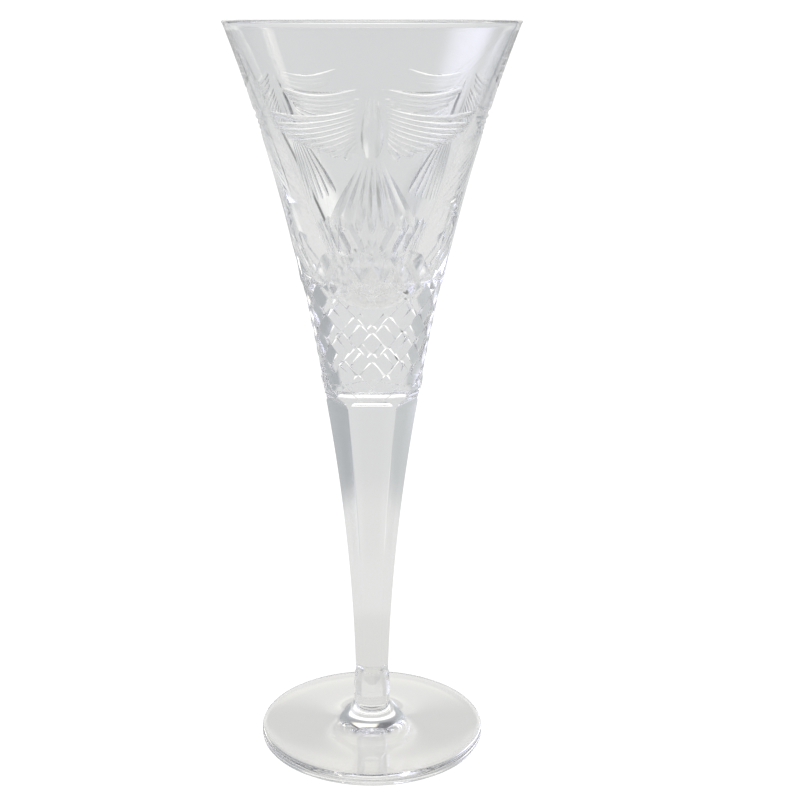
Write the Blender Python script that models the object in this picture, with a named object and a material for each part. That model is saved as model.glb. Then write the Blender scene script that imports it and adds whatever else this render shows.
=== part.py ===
# Cut-crystal champagne flute: trumpet bowl, six-sided stem, collar and cast-on foot.
# Metres, +Z up, origin at the centre of the resting face. -Y is the front of the cut pattern.
import math

import bmesh
import bpy
from mathutils import Vector

# heights of the four gathers of glass, stacked from the table up
FOOT_HEIGHT = 0.0115
COLLAR_HEIGHT = 0.0115
STEM_HEIGHT = 0.0890
BOWL_HEIGHT = 0.1230
SEAM = 0.0003                    # gap kept between two gathers that are fused on the real glass

# foot
FOOT_RADIUS = 0.03735
FOOT_EDGE = 0.0035               # thickness of the disc at its rim
FOOT_EDGE_ROUND = 0.0010
FOOT_EVEN_RISE = 0.28            # share of the foot's rise that is an even slope; the rest is the flare
FOOT_FLARE = 9.6                 # how late and how steeply the flare turns up to the collar
REST_LAND = 0.0045               # width of the flat ring the glass stands on
UNDER_HOLLOW = 0.0007            # depth of the hollow under the foot

# collar
NECK_RADIUS = 0.0060             # where collar and foot join
COLLAR_BULGE = 0.0003
PANEL_DROP = 0.0048              # how far the stem's flat panels run down the collar
PANEL_DROP_REACH = 1.32          # where they have leaned out to there, in neck radii

# stem, measured at the corners of its hexagon
SIDES = 6
STEM_RADIUS = 0.0056
STEM_FOOT_SLOPE = 0.025          # radius gained per height
SHOULDER_RADIUS = 0.0141
SHOULDER_SLOPE = 0.165

# bowl
RIM_RADIUS = 0.0450
RIM_SLOPE = 0.383
RIM_WALL = 0.0020
BASE_THICKNESS = 0.0380          # solid glass under the wine space
BASE_BALL = 0.0125               # radius of the ball that the wine space ends in
PANEL_RISE = 0.0090              # how far the stem's flat panels run up the bowl
PANEL_COVE = 0.0040              # radius that the wheel leaves at the panels' upper ends
PANEL_RELIEF = 0.015             # share of the radius that the corners stay inside the turned shape

# wheel cuts, heights above the stem's top
TOOTH_HEIGHT = 0.0575            # points of the teeth under a motif
LOW_TOOTH_HEIGHT = 0.0503        # points of the others
TEETH = 21
TALL_TEETH = 2                   # on each side of a motif's middle
TOOTH_CUT = 0.0153               # height that the cut of a tall tooth covers
TOOTH_DEPTH = 0.0018
TOOTH_LEAN = math.radians(34)    # from upright
TOOTH_RUN_OUT = 0.0036
LATTICE_TOP = 0.0473
LATTICE_BOTTOM = 0.0125
LATTICE_COUNT = 12
LATTICE_DEPTH = 0.0010
LATTICE_LEAN = math.radians(46)
LATTICE_RUN_OUT = 0.0045
SECOND_HAND = 0.92               # the cuts that lean the other way reach this share of the depth
CUT_HALF_ANGLE = math.radians(62)
MOTIFS = 3
OLIVE_BOTTOM = 0.0845
OLIVE_TOP = 0.1050
OLIVE_HALF_WIDTH = 0.0035
OLIVE_DEPTH = 0.0009
FAN_CUTS = 7
FAN_TOP = 0.0838
FAN_BOTTOM = 0.0625
FAN_HALF_SPREAD = math.radians(27)
FAN_TOP_SPREAD = math.radians(6)
FAN_DEPTH = 0.0007

# how finely the shapes are drawn
TURNED_SIDES = 48
COLLAR_SIDES = 36
BOWL_RINGS = 16
WINE_RINGS = 5
BALL_RINGS = 6
COVE_RINGS = 4
STEM_RINGS = 12
COLLAR_RINGS = 8
TOOTH_RINGS = 6
LATTICE_RINGS = 8
OLIVE_RINGS = 6
FAN_RINGS = 3
CUTTER_CLEAR = 0.0012            # how far cutters stand off the surface
ENDS_ABOVE = 0.00001             # how far a cut's ends stop above the glass


def clear_scene():
    for obj in list(bpy.data.objects):
        bpy.data.objects.remove(obj)


def glass(name, colour, roughness):
    material = bpy.data.materials.new(name)
    material.use_nodes = True
    shader = material.node_tree.nodes["Principled BSDF"]
    shader.inputs["Base Color"].default_value = (*colour, 1.0)
    shader.inputs["Roughness"].default_value = roughness
    shader.inputs["Metallic"].default_value = 0.0
    shader.inputs["IOR"].default_value = 1.54
    shader.inputs["Transmission Weight"].default_value = 1.0
    return material


def add_object(name, bm, material=None):
    bmesh.ops.remove_doubles(bm, verts=bm.verts, dist=1e-6)
    bmesh.ops.recalc_face_normals(bm, faces=bm.faces)
    mesh = bpy.data.meshes.new(name)
    bm.to_mesh(mesh)
    bm.free()
    obj = bpy.data.objects.new(name, mesh)
    bpy.context.scene.collection.objects.link(obj)
    if material:
        mesh.materials.append(material)
        mesh.shade_smooth()
        mesh.set_sharp_from_angle(angle=math.radians(25))
    return obj


def turned(profile, steps=TURNED_SIDES):
    """A solid of revolution from (radius, height) points that start and end on the axis."""
    bm = bmesh.new()
    verts = [bm.verts.new((radius, 0.0, height)) for radius, height in profile]
    edges = [bm.edges.new(pair) for pair in zip(verts, verts[1:])]
    bmesh.ops.spin(bm, geom=verts + edges, axis=(0, 0, 1), cent=(0, 0, 0),
                   steps=steps, angle=math.tau)
    return bm


def lofted(rings):
    """A closed solid through rings of points that all have the same count."""
    bm = bmesh.new()
    rows = [[bm.verts.new(point) for point in ring] for ring in rings]
    count = len(rings[0])
    for low, high in zip(rows, rows[1:]):
        for i in range(count):
            j = (i + 1) % count
            bm.faces.new((low[i], low[j], high[j], high[i]))
    bm.faces.new(reversed(rows[0]))
    bm.faces.new(rows[-1])
    return bm


def hermite(share, start, start_slope, end, end_slope, length):
    """Radius at a share of a span whose ends have the given radii and slopes."""
    square = share * share
    cube = square * share
    return ((2 * cube - 3 * square + 1) * start
            + (cube - 2 * square + share) * length * start_slope
            + (3 * square - 2 * cube) * end
            + (cube - square) * length * end_slope)


def stem_radius(height):
    share = height / STEM_HEIGHT
    return hermite(share, STEM_RADIUS, STEM_FOOT_SLOPE, SHOULDER_RADIUS, SHOULDER_SLOPE, STEM_HEIGHT)


def bowl_radius(height):
    share = height / BOWL_HEIGHT
    return hermite(share, SHOULDER_RADIUS, SHOULDER_SLOPE, RIM_RADIUS, RIM_SLOPE, BOWL_HEIGHT)


def bowl_slope(height):
    step = 1e-4
    return (bowl_radius(height + step) - bowl_radius(height - step)) / (2 * step)


def spaced(start, end, count):
    return [start + (end - start) * i / count for i in range(count + 1)]


def wine_profile(base):
    """The wine space from the rim down: a straight cone, tangent to the ball it ends in."""
    centre = BASE_THICKNESS + BASE_BALL
    top = RIM_RADIUS - RIM_WALL
    reach = math.hypot(top, BOWL_HEIGHT - centre)
    turn = math.acos(BASE_BALL / reach) - math.atan2(BOWL_HEIGHT - centre, top)
    radii = spaced(top, BASE_BALL * math.cos(turn), WINE_RINGS)
    heights = spaced(BOWL_HEIGHT, centre - BASE_BALL * math.sin(turn), WINE_RINGS)
    profile = [(radius, base + height) for radius, height in zip(radii, heights)]
    for ball_turn in spaced(turn, math.pi / 2, BALL_RINGS)[1:]:
        profile.append((BASE_BALL * math.cos(ball_turn), base + centre - BASE_BALL * math.sin(ball_turn)))
    return profile


def hexagon(apothem, height):
    """Corners at 30, 90, 150 ... degrees, so that one flat faces the front."""
    radius = apothem / math.cos(math.pi / SIDES)
    turns = [math.tau * (i + 0.5) / SIDES - math.pi / 2 for i in range(SIDES)]
    return [Vector((radius * math.cos(turn), radius * math.sin(turn), height)) for turn in turns]


def flat_from(corner_radius):
    return corner_radius * (1 - PANEL_RELIEF) * math.cos(math.pi / SIDES)


def surface(azimuth, height, base):
    """Point, outward normal and upward tangent on the turned bowl; azimuth 0 is the front."""
    radius = bowl_radius(height)
    slope = bowl_slope(height)
    out = Vector((math.sin(azimuth), -math.cos(azimuth), 0))
    point = out * radius + Vector((0, 0, base + height))
    normal = (out - Vector((0, 0, slope))).normalized()
    return point, normal


def groove(name, route, depths, half_angle, base):
    """A V-shaped cutter that follows (azimuth, height) points on the bowl at the given depths."""
    points = [surface(azimuth, height, base) for azimuth, height in route]
    rings = []
    for i, (point, normal) in enumerate(points):
        before = points[max(i - 1, 0)][0]
        after = points[min(i + 1, len(points) - 1)][0]
        side = (after - before).cross(normal).normalized()
        reach = (depths[i] + CUTTER_CLEAR) * math.tan(half_angle)
        top = point + normal * CUTTER_CLEAR
        rings.append([point - normal * depths[i], top + side * reach, top - side * reach])
    return add_object(name, lofted(rings))


def leaning_route(azimuth, top, bottom, lean, steps):
    """A line down the bowl that keeps its angle to upright."""
    heights = spaced(top, bottom, steps)
    route = [(azimuth, top)]
    for upper, lower in zip(heights, heights[1:]):
        middle = bowl_radius((upper + lower) / 2)
        azimuth += math.tan(lean) * (upper - lower) / middle
        route.append((azimuth, lower))
    return route


def run_out_depths(route, depth, run_out):
    """Full depth along the middle, running out to nothing at both ends."""
    top, bottom = route[0][1], route[-1][1]
    return [depth * min(1.0, (top - height) / run_out, (height - bottom) / run_out) - ENDS_ABOVE
            for _, height in route]


def tooth_height(index):
    """Points stand higher near the middle of each motif."""
    per_motif = TEETH // MOTIFS
    tall = index % per_motif < TALL_TEETH or index % per_motif >= per_motif - TALL_TEETH
    return TOOTH_HEIGHT if tall else LOW_TOOTH_HEIGHT


def diamond_cutters(base):
    cutters = []
    for hand, share in ((-1, SECOND_HAND), (1, 1.0)):
        for i in range(TEETH):
            route = leaning_route((i + 0.5) * math.tau / TEETH, tooth_height(i),
                                  TOOTH_HEIGHT - TOOTH_CUT, hand * TOOTH_LEAN, TOOTH_RINGS)
            depths = run_out_depths(route, share * TOOTH_DEPTH, TOOTH_RUN_OUT)
            cutters.append(groove("cut_tooth", route, depths, CUT_HALF_ANGLE, base))
        for i in range(LATTICE_COUNT):
            route = leaning_route((i + 0.5) * math.tau / LATTICE_COUNT, LATTICE_TOP,
                                  LATTICE_BOTTOM, hand * LATTICE_LEAN, LATTICE_RINGS)
            depths = run_out_depths(route, share * LATTICE_DEPTH, LATTICE_RUN_OUT)
            cutters.append(groove("cut_lattice", route, depths, CUT_HALF_ANGLE, base))
    return cutters


def olive_cutter(azimuth, base):
    route = [(azimuth, height) for height in spaced(OLIVE_TOP, OLIVE_BOTTOM, OLIVE_RINGS)]
    depths = [OLIVE_DEPTH * math.sin(turn) - ENDS_ABOVE for turn in spaced(0.0, math.pi, OLIVE_RINGS)]
    half_angle = math.atan(OLIVE_HALF_WIDTH / OLIVE_DEPTH)
    return groove("cut_olive", route, depths, half_angle, base)


def fan_cutters(azimuth, base):
    cutters = []
    for i in range(FAN_CUTS):
        share = 2 * i / (FAN_CUTS - 1) - 1
        top = azimuth + share * FAN_TOP_SPREAD
        bottom = azimuth + share * FAN_HALF_SPREAD
        route = list(zip(spaced(top, bottom, FAN_RINGS), spaced(FAN_TOP, FAN_BOTTOM, FAN_RINGS)))
        depths = [FAN_DEPTH * math.sin(turn) - ENDS_ABOVE for turn in spaced(0.0, math.pi, FAN_RINGS)]
        cutters.append(groove("cut_fan", route, depths, CUT_HALF_ANGLE, base))
    return cutters


def panel_envelope(base):
    """Everything inside the six panels: flat up the bowl's foot, then coved out past it."""
    straight = spaced(-2 * SEAM, PANEL_RISE - PANEL_COVE, 3)
    rings = [hexagon(flat_from(bowl_radius(height)), base + height) for height in straight]
    start = flat_from(bowl_radius(straight[-1]))
    for turn in spaced(0.0, math.pi / 2, COVE_RINGS)[1:-1]:
        rings.append(hexagon(start + PANEL_COVE * (1 - math.cos(turn)),
                             base + straight[-1] + PANEL_COVE * math.sin(turn)))
    rings.append(hexagon(start + PANEL_COVE + CUTTER_CLEAR, base + PANEL_RISE))
    outside = 2 * RIM_RADIUS
    rings.append(hexagon(outside, base + PANEL_RISE + CUTTER_CLEAR))
    rings.append(hexagon(outside, base + BOWL_HEIGHT + CUTTER_CLEAR))
    return add_object("cut_panels", lofted(rings))


def guide(obj):
    obj.hide_render = True
    obj.display_type = "WIRE"


def make_bowl(base):
    low = SEAM / 2
    outer = [(bowl_radius(height), base + height) for height in spaced(low, BOWL_HEIGHT, BOWL_RINGS)]
    profile = [(0.0, base + low)] + outer + wine_profile(base)
    bowl = add_object("bowl", turned(profile), glass("crystal_bowl", (0.94, 0.95, 0.96), 0.02))

    panels = panel_envelope(base)
    guide(panels)
    shape = bowl.modifiers.new("panels", "BOOLEAN")
    shape.operation = "INTERSECT"
    shape.object = panels

    cutters = diamond_cutters(base)
    for i in range(MOTIFS):
        azimuth = i * math.tau / MOTIFS
        cutters.append(olive_cutter(azimuth, base))
        cutters += fan_cutters(azimuth, base)
    wheel_cuts = bpy.data.collections.new("wheel_cuts")
    bpy.context.scene.collection.children.link(wheel_cuts)
    for cutter in cutters:
        guide(cutter)
        wheel_cuts.objects.link(cutter)
        bpy.context.scene.collection.objects.unlink(cutter)
    cut = bowl.modifiers.new("wheel_cuts", "BOOLEAN")
    cut.operation = "DIFFERENCE"
    cut.operand_type = "COLLECTION"
    cut.collection = wheel_cuts
    return bowl


def make_stem(base):
    heights = spaced(SEAM / 2, STEM_HEIGHT - SEAM / 2, STEM_RINGS)
    rings = [hexagon(flat_from(stem_radius(height)), base + height) for height in heights]
    return add_object("stem", lofted(rings), glass("crystal_stem", (0.92, 0.94, 0.96), 0.02))


def collar_panels(base):
    """Everything inside six flats that lean outwards, downwards, until they leave the collar."""
    top = COLLAR_HEIGHT - SEAM / 2
    start = flat_from(STEM_RADIUS)
    end = PANEL_DROP_REACH * NECK_RADIUS
    rings = [hexagon(end, base - CUTTER_CLEAR), hexagon(end, base + top - PANEL_DROP),
             hexagon(start, base + top), hexagon(start, base + top + CUTTER_CLEAR)]
    return add_object("cut_collar", lofted(rings))


def make_collar(base):
    """The piece under the stem: a shallow barrel that the stem's panels run out on."""
    outline = [(0.0, base + COLLAR_HEIGHT - SEAM / 2)]
    for height in spaced(COLLAR_HEIGHT - SEAM / 2, SEAM / 2, COLLAR_RINGS):
        share = height / COLLAR_HEIGHT
        radius = NECK_RADIUS + (STEM_RADIUS - NECK_RADIUS) * share + COLLAR_BULGE * math.sin(math.pi * share)
        outline.append((radius, base + height))
    outline.append((0.0, base + SEAM / 2))
    collar = add_object("collar", turned(outline, COLLAR_SIDES),
                        glass("crystal_collar", (0.93, 0.94, 0.95), 0.02))
    panels = collar_panels(base)
    guide(panels)
    shape = collar.modifiers.new("panels", "BOOLEAN")
    shape.operation = "INTERSECT"
    shape.object = panels
    return collar


def flare_height(radius):
    """Top of the foot: thin at the rim, sweeping up to the collar's neck."""
    reach = (FOOT_RADIUS - radius) / (FOOT_RADIUS - NECK_RADIUS)
    rise = FOOT_HEIGHT - SEAM / 2 - FOOT_EDGE
    return FOOT_EDGE + rise * (FOOT_EVEN_RISE * reach + (1 - FOOT_EVEN_RISE) * reach ** FOOT_FLARE)


def make_foot():
    profile = [(0.0, FOOT_HEIGHT - SEAM / 2)]
    profile += [(radius, flare_height(radius)) for radius in spaced(NECK_RADIUS, 0.5 * FOOT_RADIUS, 6)]
    profile += [(radius, flare_height(radius)) for radius in spaced(0.6 * FOOT_RADIUS, FOOT_RADIUS, 3)]
    profile.append((FOOT_RADIUS, FOOT_EDGE_ROUND))
    profile.append((FOOT_RADIUS - FOOT_EDGE_ROUND, 0.0))
    land = FOOT_RADIUS - FOOT_EDGE_ROUND - REST_LAND
    profile += [(land * share, UNDER_HOLLOW * (1 - share * share) ** 2) for share in spaced(1.0, 0.0, 6)]
    return add_object("foot", turned(profile), glass("crystal_foot", (0.93, 0.95, 0.95), 0.02))


clear_scene()
make_foot()
make_collar(FOOT_HEIGHT)
make_stem(FOOT_HEIGHT + COLLAR_HEIGHT)
make_bowl(FOOT_HEIGHT + COLLAR_HEIGHT + STEM_HEIGHT)
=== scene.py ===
import math

import bmesh
import bpy
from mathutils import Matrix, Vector


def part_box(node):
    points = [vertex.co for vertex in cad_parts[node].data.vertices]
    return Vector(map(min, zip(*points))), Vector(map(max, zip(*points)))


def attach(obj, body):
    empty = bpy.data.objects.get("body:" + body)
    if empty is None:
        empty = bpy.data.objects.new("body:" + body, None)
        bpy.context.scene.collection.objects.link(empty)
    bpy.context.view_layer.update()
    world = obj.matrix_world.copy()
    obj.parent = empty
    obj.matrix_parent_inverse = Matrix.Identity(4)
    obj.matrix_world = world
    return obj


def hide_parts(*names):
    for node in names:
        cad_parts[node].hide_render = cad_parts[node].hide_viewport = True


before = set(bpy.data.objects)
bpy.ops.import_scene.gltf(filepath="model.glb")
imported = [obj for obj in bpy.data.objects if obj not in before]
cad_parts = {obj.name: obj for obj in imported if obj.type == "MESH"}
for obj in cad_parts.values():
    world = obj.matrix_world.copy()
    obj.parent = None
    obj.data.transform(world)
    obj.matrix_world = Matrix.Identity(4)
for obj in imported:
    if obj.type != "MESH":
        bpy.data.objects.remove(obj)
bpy.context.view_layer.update()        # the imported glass: foot, collar, stem and bowl on one body

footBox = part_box("foot")
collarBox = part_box("collar")
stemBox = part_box("stem")
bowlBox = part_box("bowl")
footSeam = (footBox[1].z + collarBox[0].z) / 2        # fused joints, halfway across each gap
collarSeam = (collarBox[1].z + stemBox[0].z) / 2
stemSeam = (stemBox[1].z + bowlBox[0].z) / 2
seamHair = 0.00001        # what is left of each gap, so that two pieces never share a face
seamReach = 0.0002        # a level face this near to a joint's middle lies in the joint
levelNormal = 0.999

outlineValues = {
    "sides": 6,
    "cornersInside": 0.985,        # the panels' corners lie this share of the turned radius out
    "cornerRound": 0.00025,
    "cornerSegments": 3,
    "uprightRise": 0.0001,        # an edge that rises more than this is upright
    "stemFootRadius": 0.0056,
    "stemFootSlope": 0.025,
    "shoulderSlope": 0.165,
    "rimSlope": 0.383,
}


def hermite(share, start, startSlope, end, endSlope, length):
    square = share * share
    cube = square * share
    return ((2 * cube - 3 * square + 1) * start
            + (cube - 2 * square + share) * length * startSlope
            + (3 * square - 2 * cube) * end
            + (cube - square) * length * endSlope)


shoulderRadius = stemBox[1].x / outlineValues["cornersInside"]
stemFootRadius = outlineValues["stemFootRadius"]
rimRadius = bowlBox[1].x
stemLength = stemSeam - collarSeam
bowlLength = bowlBox[1].z - stemSeam


def turnedRadius(z):        # one trumpet, from the stem's foot up to the rim
    if z < stemSeam:
        return hermite((z - collarSeam) / stemLength, stemFootRadius, outlineValues["stemFootSlope"],
                       shoulderRadius, outlineValues["shoulderSlope"], stemLength)
    return hermite((z - stemSeam) / bowlLength, shoulderRadius, outlineValues["shoulderSlope"],
                   rimRadius, outlineValues["rimSlope"], bowlLength)


def spaced(start, end, count):
    return [start + (end - start) * i / count for i in range(count + 1)]


def selectOnly(piece):
    bpy.ops.object.select_all(action="DESELECT")
    piece.select_set(True)
    bpy.context.view_layer.objects.active = piece


def turnUp(name, profile, sides, turn=0.0, pole=False):        # a disc extruded and resized ring by ring
    bpy.ops.object.select_all(action="DESELECT")
    radius, z = profile[0]
    bpy.ops.mesh.primitive_circle_add(vertices=sides, radius=radius, fill_type="NGON",
                                      location=(0, 0, z), rotation=(0, 0, turn))
    piece = bpy.context.object
    piece.name = name
    piece.data.name = name
    bpy.ops.object.transform_apply(location=True, rotation=True, scale=True)
    bpy.ops.object.mode_set(mode="EDIT")
    bpy.ops.mesh.select_mode(type="FACE")
    bpy.ops.mesh.select_all(action="SELECT")
    for newRadius, newZ in profile[1:]:
        bpy.ops.mesh.extrude_region_move(TRANSFORM_OT_translate={"value": (0, 0, newZ - z)})
        scale = newRadius / radius
        bpy.ops.transform.resize(value=(scale, scale, 1), center_override=(0, 0, newZ))
        radius, z = newRadius, newZ
    if pole:
        bpy.ops.mesh.merge(type="CENTER")
    bpy.ops.mesh.select_all(action="SELECT")
    bpy.ops.mesh.normals_make_consistent(inside=False)
    bpy.ops.object.mode_set(mode="OBJECT")
    return piece


def roundCorners(piece):        # the polisher's touch along the six upright edges
    uprights = piece.data.attributes.new("bevel_weight_edge", "FLOAT", "EDGE")
    vertices = piece.data.vertices
    for edge in piece.data.edges:
        a, b = (vertices[i].co for i in edge.vertices)
        uprights.data[edge.index].value = 1 if abs(a.z - b.z) > outlineValues["uprightRise"] else 0
    selectOnly(piece)
    bevel = piece.modifiers.new("cornerRound", "BEVEL")
    bevel.limit_method = "WEIGHT"
    bevel.width = outlineValues["cornerRound"]
    bevel.segments = outlineValues["cornerSegments"]
    bpy.ops.object.modifier_apply(modifier=bevel.name)


# crystal

crystalValues = {
    "tint": (0.962, 0.967, 0.967, 1),
    "ior": 1.545,
    "wavesPerMetre": 70,
    "waveDepth": 0.00002,
    "smudgesPerMetre": 160,
    "smudgeDetail": 5,
    "smudgeStart": 0.55,
    "smudgeFull": 0.75,
    "smudgeRoughness": 0.02,
    "hardPolish": 0.08,
    "softPolish": 0.20,
    "hardPolishTop": 0.150,        # heights on the glass
    "softPolishStart": 0.160,
    "strokesPerMetre": 2600,        # left by the wheel
    "strokeDepth": 0.0000004,
}


def crystalMaterial(name, cut):        # clear lead crystal; cut faces carry the wheel's fine strokes
    material = bpy.data.materials.new(name)
    material.use_nodes = True
    nodes = material.node_tree.nodes
    links = material.node_tree.links
    shader = nodes["Principled BSDF"]
    shader.inputs["Base Color"].default_value = crystalValues["tint"]
    shader.inputs["IOR"].default_value = crystalValues["ior"]
    shader.inputs["Transmission Weight"].default_value = 1
    place = nodes.new("ShaderNodeTexCoord")
    film = nodes.new("ShaderNodeMapRange")
    if cut:        # the diamonds are polished harder than the motifs above them
        parts = nodes.new("ShaderNodeSeparateXYZ")
        links.new(place.outputs["Object"], parts.inputs["Vector"])
        links.new(parts.outputs["Z"], film.inputs["Value"])
        film.inputs["From Min"].default_value = crystalValues["hardPolishTop"]
        film.inputs["From Max"].default_value = crystalValues["softPolishStart"]
        film.inputs["To Min"].default_value = crystalValues["hardPolish"]
        film.inputs["To Max"].default_value = crystalValues["softPolish"]
    else:        # where fingers and drying left a film
        smudge = nodes.new("ShaderNodeTexNoise")
        smudge.inputs["Scale"].default_value = crystalValues["smudgesPerMetre"]
        smudge.inputs["Detail"].default_value = crystalValues["smudgeDetail"]
        links.new(place.outputs["Object"], smudge.inputs["Vector"])
        links.new(smudge.outputs["Fac"], film.inputs["Value"])
        film.inputs["From Min"].default_value = crystalValues["smudgeStart"]
        film.inputs["From Max"].default_value = crystalValues["smudgeFull"]
        film.inputs["To Min"].default_value = 0
        film.inputs["To Max"].default_value = crystalValues["smudgeRoughness"]
    links.new(film.outputs["Result"], shader.inputs["Roughness"])
    relief = nodes.new("ShaderNodeBump")
    wave = nodes.new("ShaderNodeTexNoise")
    links.new(place.outputs["Object"], wave.inputs["Vector"])
    if cut:
        wave.inputs["Scale"].default_value = crystalValues["strokesPerMetre"]
        relief.inputs["Distance"].default_value = crystalValues["strokeDepth"]
    else:
        wave.inputs["Scale"].default_value = crystalValues["wavesPerMetre"]
        wave.inputs["Detail"].default_value = 1
        relief.inputs["Distance"].default_value = crystalValues["waveDepth"]
    relief.inputs["Strength"].default_value = 1
    links.new(wave.outputs["Fac"], relief.inputs["Height"])
    links.new(relief.outputs["Normal"], shader.inputs["Normal"])
    return material


def seamMaterial():        # inside a fused joint there is no surface, so light goes straight on
    material = bpy.data.materials.new("fusedSeam")
    material.use_nodes = True
    nodes = material.node_tree.nodes
    nodes.clear()
    clear = nodes.new("ShaderNodeBsdfTransparent")
    output = nodes.new("ShaderNodeOutputMaterial")
    material.node_tree.links.new(clear.outputs["BSDF"], output.inputs["Surface"])
    return material


blownCrystal = crystalMaterial("blownCrystal", False)
cutCrystal = crystalMaterial("cutCrystal", True)
fusedSeam = seamMaterial()


def finishPiece(piece, node, seams, smoothDegrees):        # materials, shading and place in the frame
    for polygon in piece.data.polygons:
        level = abs(polygon.normal.z) > levelNormal
        if level and any(abs(polygon.center.z - seam) < seamReach for seam in seams):
            polygon.material_index = 2
    selectOnly(piece)
    bpy.ops.object.shade_smooth_by_angle(angle=math.radians(smoothDegrees))
    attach(piece, "root")
    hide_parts(node)


def addCrystal(piece, index):
    for material in (blownCrystal, cutCrystal, fusedSeam):
        piece.data.materials.append(material)
    for polygon in piece.data.polygons:
        polygon.material_index = index


def applyBoolean(piece, operation, cutter=None, cutters=None):
    selectOnly(piece)
    cut = piece.modifiers.new("cut", "BOOLEAN")
    cut.operation = operation
    cut.solver = "MANIFOLD"        # the exact solver takes a minute longer on this many cuts
    if cutters:
        cut.operand_type = "COLLECTION"
        cut.collection = cutters
    else:
        cut.object = cutter
    bpy.ops.object.modifier_apply(modifier=cut.name)


# foot

footValues = {
    "sides": 192,
    "edge": 0.0035,
    "edgeRound": 0.0010,
    "restLand": 0.0045,
    "underHollow": 0.0007,
    "neckRadius": 0.0060,
    "evenRise": 0.28,        # share of the rise that is an even slope; the rest is the flare
    "flarePower": 9.6,
    "flareShare": 0.45,        # share of the radius inside which the rings are close
    "flareRings": 36,
    "discRings": 14,
    "topSoft": 0.0006,        # the top's edge is softened over these three
    "lipDrop": 0.0002,
    "lipRound": 0.0007,
    "softRings": 6,
    "underRings": 24,
    "underInner": 0.02,        # share of the hollow's radius where its last ring lies
}


def flareHeight(radius, footRadius):
    reach = (footRadius - radius) / (footRadius - footValues["neckRadius"])
    rise = footSeam - seamHair - footValues["edge"]
    even = footValues["evenRise"]
    return footValues["edge"] + rise * (even * reach + (1 - even) * reach ** footValues["flarePower"])


def makeFoot():
    radius = footBox[1].x
    soft = footValues["edgeRound"]
    land = radius - soft - footValues["restLand"]
    profile = [(footValues["neckRadius"] * share, footSeam - seamHair) for share in (0.5, 1)]
    flareEnd = footValues["flareShare"] * radius
    discEnd = radius - footValues["topSoft"]
    flare = spaced(footValues["neckRadius"], flareEnd, footValues["flareRings"])
    disc = spaced(flareEnd, discEnd, footValues["discRings"])
    for r in flare[1:] + disc[1:]:
        profile.append((r, flareHeight(r, radius)))
    edge = flareHeight(radius, radius)
    profile += [(radius - footValues["lipDrop"], edge - footValues["lipDrop"]),
                (radius, edge - footValues["lipRound"]), (radius, soft)]
    for turn in spaced(0, math.pi / 2, footValues["softRings"])[1:]:
        profile.append((radius - soft * (1 - math.cos(turn)), soft * (1 - math.sin(turn))))
    for share in spaced(1, footValues["underInner"], footValues["underRings"]):
        profile.append((land * share, footValues["underHollow"] * (1 - share * share) ** 2))
    foot = turnUp("fluteFoot", profile, footValues["sides"], pole=True)
    addCrystal(foot, 0)
    finishPiece(foot, "foot", [footSeam], smoothDegrees=35)
    return foot


# collar

collarValues = {
    "sides": 144,
    "rings": 24,
    "bulge": 0.0003,
    "panelDrop": 0.0048,        # how far below the stem the panels run out
    "panelRings": 12,
    "panelReach": 1.32,        # how far out the panels lean, in neck radii
    "panelCurve": 1.5,
    "wheelAbove": 0.001,        # how far the wheel's body passes the panels
    "wheelBelow": 0.02,
}


def panelRunOut(top, bottom):        # six flats that lean outwards until they leave the neck
    corners = outlineValues["cornersInside"]
    start = corners * stemFootRadius
    end = collarValues["panelReach"] * footValues["neckRadius"]
    profile = [(start, top + collarValues["wheelAbove"]), (start, top)]
    for share in spaced(0, 1, collarValues["panelRings"])[1:]:
        radius = start + (end - start) * share ** collarValues["panelCurve"]
        profile.append((radius, top + (bottom - top) * share))
    profile.append((end, bottom - collarValues["wheelBelow"]))
    return turnUp("collarWheel", profile, outlineValues["sides"], turn=math.pi / outlineValues["sides"])


def makeCollar():
    low = footSeam + seamHair
    high = collarSeam - seamHair
    profile = [(footValues["neckRadius"], low)]
    for z in spaced(low, high, collarValues["rings"])[1:]:
        share = (z - low) / (high - low)
        straight = footValues["neckRadius"] + (stemFootRadius - footValues["neckRadius"]) * share
        profile.append((straight + collarValues["bulge"] * math.sin(math.pi * share), z))
    collar = turnUp("fluteCollar", profile, collarValues["sides"])
    addCrystal(collar, 0)
    panels = panelRunOut(high, high - collarValues["panelDrop"])
    roundCorners(panels)
    addCrystal(panels, 1)
    applyBoolean(collar, "INTERSECT", cutter=panels)
    bpy.data.objects.remove(panels)
    finishPiece(collar, "collar", [footSeam, collarSeam], smoothDegrees=25)
    return collar


# stem

stemValues = {
    "rings": 60,
}


def makeStem():
    low = collarSeam + seamHair
    high = stemSeam - seamHair
    corners = outlineValues["cornersInside"]
    profile = [(corners * turnedRadius(z), z) for z in spaced(low, high, stemValues["rings"])]
    turn = math.pi / outlineValues["sides"]
    stem = turnUp("fluteStem", profile, outlineValues["sides"], turn=turn)
    roundCorners(stem)
    addCrystal(stem, 1)
    finishPiece(stem, "stem", [collarSeam, stemSeam], smoothDegrees=25)
    return stem


# bowl

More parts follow.
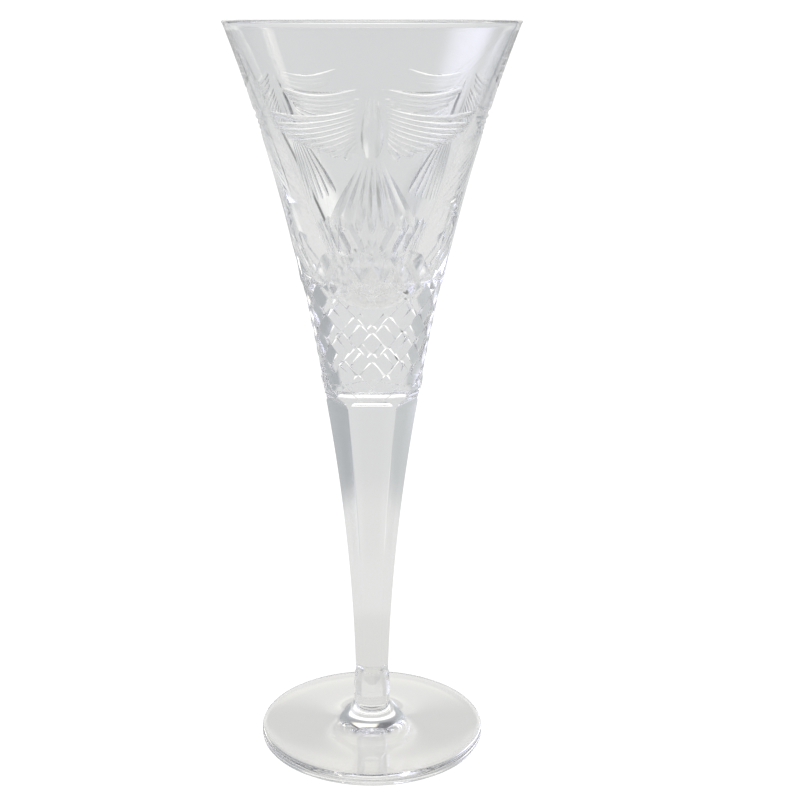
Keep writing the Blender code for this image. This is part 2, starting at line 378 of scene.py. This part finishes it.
bowlValues = {
    "sides": 240,
    "outerRings": 84,
    "innerRings": 44,
    "rimWall": 0.0020,
    "baseThickness": 0.0380,        # solid crystal under the wine
    "baseRound": 0.0125,
    "baseRoundRings": 16,
    "baseRoundShare": 0.985,        # how far round the ball its rings go before the pole
    "rimRings": 6,
    "blankTurn": 0.004,
    "panelRise": 0.0090,
    "panelRings": 6,
    "panelCove": 0.0040,
    "coveShare": 0.96,        # how much of a quarter turn the cove makes
    "coveRings": 12,
    "coveEnd": 1.05,        # the wheel's body leaves the bowl this many coves above the flat
    "wheelBelow": 0.001,        # how far the wheel's body passes the bowl
    "wheelAbove": 0.01,
    "cutterClear": 0.0012,        # how far a cutter stands off the surface
}


def wineProfile():        # a straight cone, tangent to the ball its bottom is
    ball = bowlValues["baseRound"]
    centre = stemSeam + bowlValues["baseThickness"] + ball
    lip = bowlValues["rimWall"] / 2
    topZ = bowlBox[1].z - lip
    topRadius = turnedRadius(bowlBox[1].z) - 2 * lip
    reach = math.hypot(topRadius, topZ - centre)
    lean = math.acos(ball / reach) - math.atan2(topZ - centre, topRadius)
    footRadius = ball * math.cos(lean)
    footZ = centre - ball * math.sin(lean)
    profile = [(footRadius + (topRadius - footRadius) * t, footZ + (topZ - footZ) * t)
               for t in spaced(1, 0, bowlValues["innerRings"])]
    for turn in spaced(lean, math.pi / 2 * bowlValues["baseRoundShare"],
                       bowlValues["baseRoundRings"])[1:]:
        profile.append((ball * math.cos(turn), centre - ball * math.sin(turn)))
    return profile


def makeBowlBlank():
    rim = bowlBox[1].z
    lip = bowlValues["rimWall"] / 2
    low = stemSeam + seamHair
    profile = [(turnedRadius(z), z) for z in spaced(low, rim - lip, bowlValues["outerRings"])]
    middle = turnedRadius(rim) - lip
    for turn in spaced(0, math.pi, bowlValues["rimRings"] * 2)[1:-1]:
        profile.append((middle + lip * math.cos(turn), rim - lip + lip * math.sin(turn)))
    profile += wineProfile()
    return turnUp("fluteBowl", profile, bowlValues["sides"], turn=bowlValues["blankTurn"], pole=True)


def panelEnvelope():        # what the six panels leave: flat up the shoulder, then coved out past the bowl
    corners = outlineValues["cornersInside"]
    flatTop = stemSeam + bowlValues["panelRise"] - bowlValues["panelCove"]
    flatBottom = stemSeam - bowlValues["wheelBelow"]
    profile = [(corners * turnedRadius(z), z) for z in spaced(flatBottom, flatTop, bowlValues["panelRings"])]
    start = profile[-1][0]
    cove = bowlValues["panelCove"]
    for turn in spaced(0, math.pi / 2 * bowlValues["coveShare"], bowlValues["coveRings"])[1:]:
        profile.append((start + cove * (1 - math.cos(turn)), flatTop + cove * math.sin(turn)))
    profile.append((2 * rimRadius, flatTop + bowlValues["coveEnd"] * cove))
    profile.append((2 * rimRadius, bowlBox[1].z + bowlValues["wheelAbove"]))
    return turnUp("panelWheel", profile, outlineValues["sides"], turn=math.pi / outlineValues["sides"])


def bowlSurface(azimuth, z):        # azimuth 0 is the front, -Y
    step = 0.0001
    slope = (turnedRadius(z + step) - turnedRadius(z - step)) / (2 * step)
    out = Vector((math.sin(azimuth), -math.cos(azimuth), 0))
    return out * turnedRadius(z) + Vector((0, 0, z)), (out - Vector((0, 0, slope))).normalized()


def wheelCut(name, route, depths, edge, steps):
    # the body that a wheel sweeps along a route of (azimuth, z); edge gives its rim's height and reach
    clear = bowlValues["cutterClear"]
    places = [bowlSurface(azimuth, z) for azimuth, z in route]
    cutter = bmesh.new()
    rings = []
    for i, (point, normal) in enumerate(places):
        before = places[max(i - 1, 0)][0]
        after = places[min(i + 1, len(places) - 1)][0]
        side = (after - before).cross(normal).normalized()
        height, reach = edge
        half = reach(depths[i] + clear)
        ring = []
        for x in spaced(-half, half, steps):
            ring.append(cutter.verts.new(point + side * x + normal * (height(x) - depths[i])))
        rings.append(ring)
    for low, high in zip(rings, rings[1:]):
        for k in range(len(low)):
            m = (k + 1) % len(low)
            cutter.faces.new((low[k], low[m], high[m], high[k]))
    cutter.faces.new(reversed(rings[0]))
    cutter.faces.new(rings[-1])
    bmesh.ops.recalc_face_normals(cutter, faces=cutter.faces)
    mesh = bpy.data.meshes.new(name)
    cutter.to_mesh(mesh)
    cutter.free()
    for polygon in mesh.polygons:
        polygon.material_index = 1
    return bpy.data.objects.new(name, mesh)


def mitreEdge(halfAngle):
    spread = math.tan(halfAngle)
    return (lambda x: abs(x) / spread, lambda deep: deep * spread)


def roundEdge(radius):
    return (lambda x: x * x / (2 * radius), lambda deep: math.sqrt(2 * radius * deep))


above = -0.00003        # a cut's two ends stop just above the glass

diamondValues = {
    "teeth": 21,
    "tallTeeth": 2,        # on each side of a motif
    "toothTop": 0.0575,        # heights above the stem's top
    "lowToothTop": 0.0503,
    "toothCut": 0.0153,
    "toothLean": math.radians(34),        # leans are from upright
    "toothDepth": 0.0018,
    "diamonds": 12,
    "top": 0.0473,
    "bottom": 0.0125,
    "lean": math.radians(46),
    "depth": 0.0007,
    "secondShare": 0.92,        # the second hand cuts a little less deep
    "halfAngle": math.radians(62),
    "toothRunOut": 0.0036,
    "runOut": 0.0045,
    "stepsPerMetre": 900,
    "crossingSteps": 1000,
    "crossingsBelow": 0.008,        # the crossings are followed this far below the band
    "flatClear": 0.0001,
}


def leaningRoute(azimuth, top, bottom, lean):
    heights = spaced(top, bottom, round((top - bottom) * diamondValues["stepsPerMetre"]))
    route = [(azimuth, stemSeam + top)]
    for upper, lower in zip(heights, heights[1:]):
        middle = turnedRadius(stemSeam + (upper + lower) / 2)
        azimuth += math.tan(lean) * (upper - lower) / middle
        route.append((azimuth, stemSeam + lower))
    return route


def runOutDepths(route, depth, runOut):
    top, bottom = route[0][1], route[-1][1]
    return [above + (depth - above) * min(1, (top - z) / runOut, (z - bottom) / runOut) for _, z in route]


def crossingHeights():        # where the long cuts cross, row by row from the top
    values = diamondValues
    halfPitch = math.pi / values["diamonds"]
    reach = values["top"] - values["bottom"] + values["crossingsBelow"]
    start = stemSeam + values["top"]
    end = stemSeam + values["bottom"] - values["crossingsBelow"]
    heights = []
    turned = 0.0
    for z in spaced(start, end, values["crossingSteps"]):
        if turned >= len(heights) * halfPitch:
            heights.append(z)
        turned += math.tan(values["lean"]) * (1 / values["crossingSteps"]) / turnedRadius(z) * reach
    return heights


def flatCuts():        # one flat per diamond, between the four crossings round it
    heights = crossingHeights()
    halfPitch = math.pi / diamondValues["diamonds"]
    cuts = []
    for row in range(1, len(heights) - 1):
        for i in range(diamondValues["diamonds"]):
            azimuth = (2 * i + row % 2) * halfPitch
            z = heights[row]
            point, normal = bowlSurface(azimuth, z)
            depth = turnedRadius(z) * (1 - math.cos(halfPitch)) + diamondValues["flatClear"]
            side = Vector((math.cos(azimuth), math.sin(azimuth), 0))
            up = normal.cross(side)
            wide = turnedRadius(z) * math.sin(halfPitch)
            corners = [side * wide, up * (heights[row - 1] - z), -side * wide, up * (heights[row + 1] - z)]
            cutter = bmesh.new()
            low = [cutter.verts.new(point - normal * depth + corner) for corner in corners]
            lid = point + normal * bowlValues["cutterClear"]
            high = [cutter.verts.new(lid + corner) for corner in corners]
            cutter.faces.new(low)
            cutter.faces.new(high)
            for k in range(4):
                m = (k + 1) % 4
                cutter.faces.new((low[k], low[m], high[m], high[k]))
            bmesh.ops.recalc_face_normals(cutter, faces=cutter.faces)
            mesh = bpy.data.meshes.new("flatCut")
            cutter.to_mesh(mesh)
            cutter.free()
            for polygon in mesh.polygons:
                polygon.material_index = 1
            cuts.append(bpy.data.objects.new("flatCut", mesh))
    return cuts


def diamondCuts():
    values = diamondValues
    edge = mitreEdge(values["halfAngle"])
    cuts = []
    for hand, share in ((-1, values["secondShare"]), (1, 1)):
        for i in range(values["teeth"]):
            azimuth = (i + 0.5) * math.tau / values["teeth"]
            route = leaningRoute(azimuth, values["toothTop"], values["toothTop"] - values["toothCut"],
                                 hand * values["toothLean"])
            perMotif = values["teeth"] // motifValues["count"]
            if values["tallTeeth"] <= i % perMotif < perMotif - values["tallTeeth"]:
                route = [(turn, z) for turn, z in route if z <= stemSeam + values["lowToothTop"]]
            depths = runOutDepths(route, share * values["toothDepth"], values["toothRunOut"])
            cuts.append(wheelCut("toothCut", route, depths, edge, 2))
        for i in range(values["diamonds"]):
            azimuth = (i + 0.5) * math.tau / values["diamonds"]
            route = leaningRoute(azimuth, values["top"], values["bottom"], hand * values["lean"])
            depths = runOutDepths(route, share * values["depth"], values["runOut"])
            cuts.append(wheelCut("diamondCut", route, depths, edge, 2))
    return cuts


motifValues = {
    "count": 3,
    "oliveTop": 0.1050,
    "oliveBottom": 0.0845,
    "oliveDepth": 0.00105,
    "oliveWheel": 0.0060,
    "oliveSwell": (2, 1),        # how late a cut deepens and how soon it fades
    "oliveSteps": 22,
    "oliveEdgeSteps": 14,
    "fanCuts": 7,
    "fanTop": 0.0838,
    "fanBottom": 0.0625,
    "fanLift": 0.0018,        # how much higher the outer cuts end
    "fanTopSpread": math.radians(6),
    "fanSpread": math.radians(27),
    "fanDepth": 0.00075,
    "fanAngle": math.radians(62),
    "fanSwell": (1.1, 0.45),
    "fanPulls": (0.62, 0.38),        # how much of its top and of its foot the middle of a cut follows
    "plumes": 9,
    "plumeDepth": 0.00048,
    "plumeWheel": 0.0011,
    "plumeSwell": (0.7, 0.5),
    "plumeStart": (5.6, 0.0994),        # degrees from the motif, and height above the stem
    "plumeStartChange": (2, -0.0104),        # from the first plume to the last
    "plumePull": (22, 0.0940),
    "plumePullChange": (-10.7, -0.0086),
    "plumeEnd": (56, 0.0973),
    "plumeEndChange": (-42, -0.0127),
    "swags": 3,
    "swagDepth": 0.00042,
    "swagWheel": 0.0018,
    "swagSwell": (0.6, 0.5),
    "swagStart": (5, 0.1043),
    "swagStartChange": (2, -0.0018),        # from one swag to the next
    "swagPull": (25, 0.0992),
    "swagPullChange": (-1, -0.0007),
    "swagEnd": (42, 0.1044),
    "swagEndChange": (-3, -0.0021),
    "steps": 34,
    "edgeSteps": 8,
}


def bend(start, pull, end, count):        # a quadratic curve through azimuth and height
    route = []
    for t in spaced(0, 1, count):
        shares = ((1 - t) ** 2, 2 * t * (1 - t), t * t)
        route.append(tuple(sum(s * p[k] for s, p in zip(shares, (start, pull, end))) for k in (0, 1)))
    return route


def swell(count, depth, early, late):        # depth that grows from nothing and falls back to nothing
    peak = (early / (early + late)) ** early * (late / (early + late)) ** late
    return [above + (depth - above) * t ** early * (1 - t) ** late / peak for t in spaced(0, 1, count)]


def oliveCut(turn):
    values = motifValues
    steps = values["oliveSteps"]
    route = [(turn, stemSeam + z) for z in spaced(values["oliveTop"], values["oliveBottom"], steps)]
    depths = swell(steps, values["oliveDepth"], *values["oliveSwell"])
    return wheelCut("oliveCut", route, depths, roundEdge(values["oliveWheel"]), values["oliveEdgeSteps"])


def fanCuts(turn):
    values = motifValues
    topPull, footPull = values["fanPulls"]
    cuts = []
    for i in range(values["fanCuts"]):
        share = 2 * i / (values["fanCuts"] - 1) - 1
        start = (turn + share * values["fanTopSpread"], stemSeam + values["fanTop"])
        end = (turn + share * values["fanSpread"],
               stemSeam + values["fanBottom"] + values["fanLift"] * share * share)
        pull = (turn + share * (values["fanTopSpread"] * topPull + values["fanSpread"] * footPull),
                (start[1] + end[1]) / 2)
        route = bend(start, pull, end, values["steps"])
        depths = swell(values["steps"], values["fanDepth"], *values["fanSwell"])
        cuts.append(wheelCut("fanCut", route, depths, mitreEdge(values["fanAngle"]), 2))
    return cuts


def besideMotif(turn, side, name, turned, lowered):        # a named point of a plume or a swag
    degrees, height = motifValues[name]
    moreDegrees, moreHeight = motifValues[name + "Change"]
    return (turn + side * math.radians(degrees + moreDegrees * turned),
            stemSeam + height + moreHeight * lowered)


def plumeCuts(turn):        # long flutes that sweep out from the olive, and the swags over them
    values = motifValues
    cuts = []
    for side in (-1, 1):
        for i in range(values["plumes"]):
            share = i / (values["plumes"] - 1)
            start = besideMotif(turn, side, "plumeStart", share, share)
            pull = besideMotif(turn, side, "plumePull", share * share, share)
            end = besideMotif(turn, side, "plumeEnd", share ** 1.5, share ** 0.65)
            route = bend(start, pull, end, values["steps"])
            depths = swell(values["steps"], values["plumeDepth"], *values["plumeSwell"])
            edge = roundEdge(values["plumeWheel"])
            cuts.append(wheelCut("plumeCut", route, depths, edge, values["edgeSteps"]))
        for i in range(values["swags"]):
            start = besideMotif(turn, side, "swagStart", i, i)
            pull = besideMotif(turn, side, "swagPull", i, i)
            end = besideMotif(turn, side, "swagEnd", i, i)
            route = bend(start, pull, end, values["steps"])
            depths = swell(values["steps"], values["swagDepth"], *values["swagSwell"])
            edge = roundEdge(values["swagWheel"])
            cuts.append(wheelCut("swagCut", route, depths, edge, values["edgeSteps"]))
    return cuts


def makeBowl():
    bowl = makeBowlBlank()
    addCrystal(bowl, 0)
    panels = panelEnvelope()
    roundCorners(panels)
    addCrystal(panels, 1)
    applyBoolean(bowl, "INTERSECT", cutter=panels)
    bpy.data.objects.remove(panels)
    print("bowl blank and panels", len(bowl.data.polygons))
    cuts = diamondCuts() + flatCuts()
    for i in range(motifValues["count"]):
        turn = i * math.tau / motifValues["count"]
        cuts.append(oliveCut(turn))
        cuts += fanCuts(turn)
        cuts += plumeCuts(turn)
    wheelCuts = bpy.data.collections.new("wheelCuts")
    bpy.context.scene.collection.children.link(wheelCuts)
    for cut in cuts:
        wheelCuts.objects.link(cut)
        for material in (blownCrystal, cutCrystal):
            cut.data.materials.append(material)
    applyBoolean(bowl, "DIFFERENCE", cutters=wheelCuts)
    for cut in cuts:
        bpy.data.objects.remove(cut)
    bpy.data.collections.remove(wheelCuts)
    finishPiece(bowl, "bowl", [stemSeam], smoothDegrees=20)
    print("bowl cut", len(bowl.data.polygons))
    return bowl


makeFoot()
print("foot turned")
makeCollar()
print("collar turned and panelled")
makeStem()
print("stem drawn and panelled")
makeBowl()


# floor, light and camera

studioValues = {
    "floorSize": 30,
    "floorDrop": 0.0003,
    "paper": 1.1,        # what the camera sees round the glass
    "below": (0.74, 0.735, 0.72),        # what the glass sees: downwards, level and upwards
    "level": (0.74, 0.74, 0.745),
    "above": (0.48, 0.49, 0.51),
    "roomCentre": (0, 0, 0.10),
    "belowEnds": (-0.45, -0.08),        # heights between which one part of the room turns into the next
    "aboveEnds": (0.06, 0.26),
}

# what stands round the room: turn from straight behind, half width, lowest, highest and softness
# in degrees, and the tone
roomThings = {
    "table": (0, 180, -40, -13, 3, (0.80, 0.80, 0.79)),
    "backWindow": (0, 30, 6, 24, 3, (1.35, 1.34, 1.31)),
    "wallLeft": (-64, 30, -11, 32, 3, (0.56, 0.58, 0.59)),
    "wallRight": (62, 32, -11, 32, 2.5, (0.42, 0.44, 0.46)),
    "glow": (-14, 5, -22, -9, 2, (1.02, 1.02, 1.00)),
    "shade": (12, 4, -24, -8, 2, (0.62, 0.63, 0.63)),
    "post": (-22, 1.3, -16, -6, 0.5, (0.10, 0.10, 0.10)),
    "ceiling": (0, 180, 34, 89, 5, (0.20, 0.20, 0.22)),
    "ceilingLamp": (14, 22, 36, 50, 4, (1.3, 1.25, 1.12)),
    "topLamp": (0, 180, 72, 89.9, 4, (1.4, 1.4, 1.45)),
    "window": (-76, 20, 8, 38, 14, (2.5, 2.5, 3.2)),
    "lamp": (72, 3, 8, 34, 3, (2.6, 2.5, 2.3)),
    "darkDoor": (180, 12, -4, 22, 4, (0.06, 0.06, 0.06)),
}


def addNode(nodes, kind, **values):
    node = nodes.new(kind)
    for key, value in values.items():
        setattr(node, key, value)
    return node


def mixColour(nodes, links, factor, first, second):
    mix = addNode(nodes, "ShaderNodeMix", data_type="RGBA")
    links.new(factor, mix.inputs["Factor"])
    for socket, colour in ((mix.inputs[6], first), (mix.inputs[7], second)):
        if isinstance(colour, tuple):
            socket.default_value = colour + (1,)
        else:
            links.new(colour, socket)
    return mix.outputs[2]


def smoothShare(nodes, links, value, start, end):
    share = addNode(nodes, "ShaderNodeMapRange", interpolation_type="SMOOTHSTEP")
    share.inputs["From Min"].default_value = start
    share.inputs["From Max"].default_value = end
    links.new(value, share.inputs["Value"])
    return share.outputs["Result"]


def multiply(nodes, links, first, second):
    product = addNode(nodes, "ShaderNodeMath", operation="MULTIPLY")
    links.new(first, product.inputs[0])
    links.new(second, product.inputs[1])
    return product.outputs["Value"]


def roomColour(nodes, links, vector):        # the colour the glass sees in the direction of a vector
    direction = addNode(nodes, "ShaderNodeVectorMath", operation="NORMALIZE")
    links.new(vector, direction.inputs[0])
    split = nodes.new("ShaderNodeSeparateXYZ")
    links.new(direction.outputs["Vector"], split.inputs["Vector"])
    height = split.outputs["Z"]
    flatten = addNode(nodes, "ShaderNodeVectorMath", operation="MULTIPLY")
    flatten.inputs[1].default_value = (1, 1, 0)
    links.new(vector, flatten.inputs[0])
    heading = addNode(nodes, "ShaderNodeVectorMath", operation="NORMALIZE")
    links.new(flatten.outputs["Vector"], heading.inputs[0])
    lower = smoothShare(nodes, links, height, *studioValues["belowEnds"])
    colour = mixColour(nodes, links, lower, studioValues["below"], studioValues["level"])
    upper = smoothShare(nodes, links, height, *studioValues["aboveEnds"])
    colour = mixColour(nodes, links, upper, colour, studioValues["above"])
    for turn, width, low, high, soft, tone in roomThings.values():
        towards = addNode(nodes, "ShaderNodeVectorMath", operation="DOT_PRODUCT")
        towards.inputs[1].default_value = (math.sin(math.radians(turn)), math.cos(math.radians(turn)), 0)
        links.new(heading.outputs["Vector"], towards.inputs[0])
        inner, outer = math.radians(max(width - soft, 0)), math.radians(width + soft)
        ends = (low - soft, low + soft, high + soft, high - soft)
        rise = [math.sin(math.radians(angle)) for angle in ends]
        share = smoothShare(nodes, links, height, rise[0], rise[1])
        share = multiply(nodes, links, share, smoothShare(nodes, links, height, rise[2], rise[3]))
        if width < 180:
            across = smoothShare(nodes, links, towards.outputs["Value"], math.cos(outer), math.cos(inner))
            share = multiply(nodes, links, share, across)
        colour = mixColour(nodes, links, share, colour, tone)
    return colour


def seenByCamera(nodes, links, paper, room):        # white paper behind the glass, the room inside it
    ray = nodes.new("ShaderNodeLightPath")
    mix = nodes.new("ShaderNodeMixShader")
    links.new(ray.outputs["Is Camera Ray"], mix.inputs["Fac"])
    links.new(room, mix.inputs[1])
    links.new(paper, mix.inputs[2])
    return mix.outputs["Shader"]


def makeFloor():
    bpy.ops.object.select_all(action="DESELECT")
    below = (0, 0, -studioValues["floorDrop"])
    bpy.ops.mesh.primitive_plane_add(size=studioValues["floorSize"], location=below)
    floor = bpy.context.object
    floor.name = "paleFloor"
    material = bpy.data.materials.new("paleFloor")
    material.use_nodes = True
    nodes = material.node_tree.nodes
    links = material.node_tree.links
    nodes.clear()
    place = nodes.new("ShaderNodeTexCoord")
    fromCentre = addNode(nodes, "ShaderNodeVectorMath", operation="SUBTRACT")
    fromCentre.inputs[1].default_value = studioValues["roomCentre"]
    links.new(place.outputs["Object"], fromCentre.inputs[0])
    room = nodes.new("ShaderNodeEmission")
    links.new(roomColour(nodes, links, fromCentre.outputs["Vector"]), room.inputs["Color"])
    paper = nodes.new("ShaderNodeEmission")
    paper.inputs["Strength"].default_value = studioValues["paper"]
    output = nodes.new("ShaderNodeOutputMaterial")
    links.new(seenByCamera(nodes, links, paper.outputs["Emission"], room.outputs["Emission"]),
              output.inputs["Surface"])
    floor.data.materials.append(material)


def makeWorld():
    world = bpy.data.worlds.new("studio")
    bpy.context.scene.world = world
    world.use_nodes = True
    nodes = world.node_tree.nodes
    links = world.node_tree.links
    nodes.clear()
    place = nodes.new("ShaderNodeTexCoord")
    room = nodes.new("ShaderNodeBackground")
    links.new(roomColour(nodes, links, place.outputs["Generated"]), room.inputs["Color"])
    paper = nodes.new("ShaderNodeBackground")
    paper.inputs["Color"].default_value = (1, 1, 1, 1)
    paper.inputs["Strength"].default_value = studioValues["paper"]
    output = nodes.new("ShaderNodeOutputWorld")
    links.new(seenByCamera(nodes, links, paper.outputs["Background"], room.outputs["Background"]),
              output.inputs["Surface"])


cameraValues = {
    "lens": 62.5,
    "distance": 0.4298,
    "height": 0.236,
    "lookDown": math.radians(15.45),
    "shift": 0.035,
    "clipStart": 0.01,
}


def makeCamera():
    camera = bpy.data.cameras.new("camera")
    camera.lens = cameraValues["lens"]
    camera.shift_x = cameraValues["shift"]
    camera.clip_start = cameraValues["clipStart"]
    stand = bpy.data.objects.new("camera", camera)
    bpy.context.scene.collection.objects.link(stand)
    stand.location = (0, -cameraValues["distance"], cameraValues["height"])
    stand.rotation_euler = (math.pi / 2 - cameraValues["lookDown"], 0, 0)
    bpy.context.scene.camera = stand


makeFloor()
makeWorld()
makeCamera()
print("floor, room and camera set")
scene = bpy.context.scene
scene.view_settings.view_transform = "Standard"
scene.cycles.max_bounces = 40
scene.cycles.glossy_bounces = 24
scene.cycles.transmission_bounces = 32
scene.cycles.transparent_max_bounces = 32
